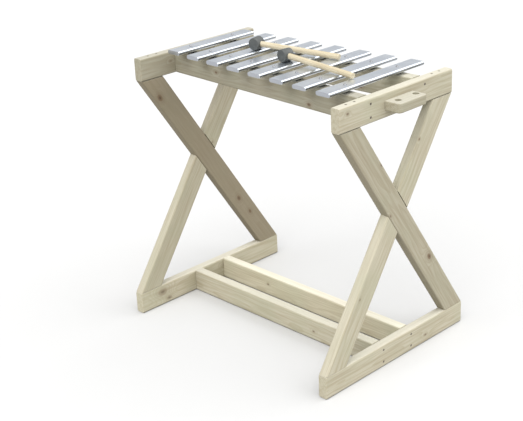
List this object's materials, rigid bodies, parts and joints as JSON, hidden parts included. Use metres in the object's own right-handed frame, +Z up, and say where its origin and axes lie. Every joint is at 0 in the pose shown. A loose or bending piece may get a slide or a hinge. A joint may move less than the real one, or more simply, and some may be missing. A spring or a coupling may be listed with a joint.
{
  "type": "outdoor metallophone",
  "caption": "Free-standing outdoor metallophone: flat aluminium tone bars on tapering rails over an X-legged softwood frame, with two mallets and a mallet holder block.",
  "frame": {"origin": "on the ground, at the middle of the whole footprint, mallet holder included", "axes": "+X along the instrument towards the longest bar and the mallet holder, +Y across it, away from the picture's near side, +Z up"},
  "size_m": [0.871, 0.614, 0.8773],
  "materials": {
    "treated_softwood": "planed, pressure-treated, matte, pale greenish beige",
    "aluminium": "fine satin, rounded long edges",
    "washer_rubber": "matte black",
    "mallet_rubber": "matte dark grey",
    "dowel": "smooth pale dowel",
    "stainless_steel": "satin"
  },
  "bodies": {
    "frame": {"left_top_rail": "treated_softwood", "left_foot_rail": "treated_softwood", "left_leg_a": "treated_softwood", "left_leg_b": "treated_softwood", "right_top_rail": "treated_softwood", "right_foot_rail": "treated_softwood", "right_leg_a": "treated_softwood", "right_leg_b": "treated_softwood", "front_long_rail": "treated_softwood", "back_long_rail": "treated_softwood", "front_stretcher": "treated_softwood", "back_stretcher": "treated_softwood", "mallet_holder": "treated_softwood", "tone_bar_1": "aluminium", "tone_bar_2": "aluminium", "tone_bar_3": "aluminium", "tone_bar_4": "aluminium", "tone_bar_5": "aluminium", "tone_bar_6": "aluminium", "tone_bar_7": "aluminium", "tone_bar_8": "aluminium", "washer_front_1": "washer_rubber", "washer_front_2": "washer_rubber", "washer_front_3": "washer_rubber", "washer_front_4": "washer_rubber", "washer_front_5": "washer_rubber", "washer_front_6": "washer_rubber", "washer_front_7": "washer_rubber", "washer_front_8": "washer_rubber", "washer_back_1": "washer_rubber", "washer_back_2": "washer_rubber", "washer_back_3": "washer_rubber", "washer_back_4": "washer_rubber", "washer_back_5": "washer_rubber", "washer_back_6": "washer_rubber", "washer_back_7": "washer_rubber", "washer_back_8": "washer_rubber", "bar_screw_front_1": "stainless_steel", "bar_screw_front_2": "stainless_steel", "bar_screw_front_3": "stainless_steel", "bar_screw_front_4": "stainless_steel", "bar_screw_front_5": "stainless_steel", "bar_screw_front_6": "stainless_steel", "bar_screw_front_7": "stainless_steel", "bar_screw_front_8": "stainless_steel", "bar_screw_back_1": "stainless_steel", "bar_screw_back_2": "stainless_steel", "bar_screw_back_3": "stainless_steel", "bar_screw_back_4": "stainless_steel", "bar_screw_back_5": "stainless_steel", "bar_screw_back_6": "stainless_steel", "bar_screw_back_7": "stainless_steel", "bar_screw_back_8": "stainless_steel"},
    "mallet_1": {"mallet_1_head": "mallet_rubber", "mallet_1_handle": "dowel"},
    "mallet_2": {"mallet_2_head": "mallet_rubber", "mallet_2_handle": "dowel"}
  },
  "joints": [
    {"name": "mallet_1_lift", "type": "slide", "parent": "frame", "child": "mallet_1", "axis": [0, 0, 1], "range_m": [0, 0.25]},
    {"name": "mallet_2_lift", "type": "slide", "parent": "frame", "child": "mallet_2", "axis": [0, 0, 1], "range_m": [0, 0.25]}
  ]
}
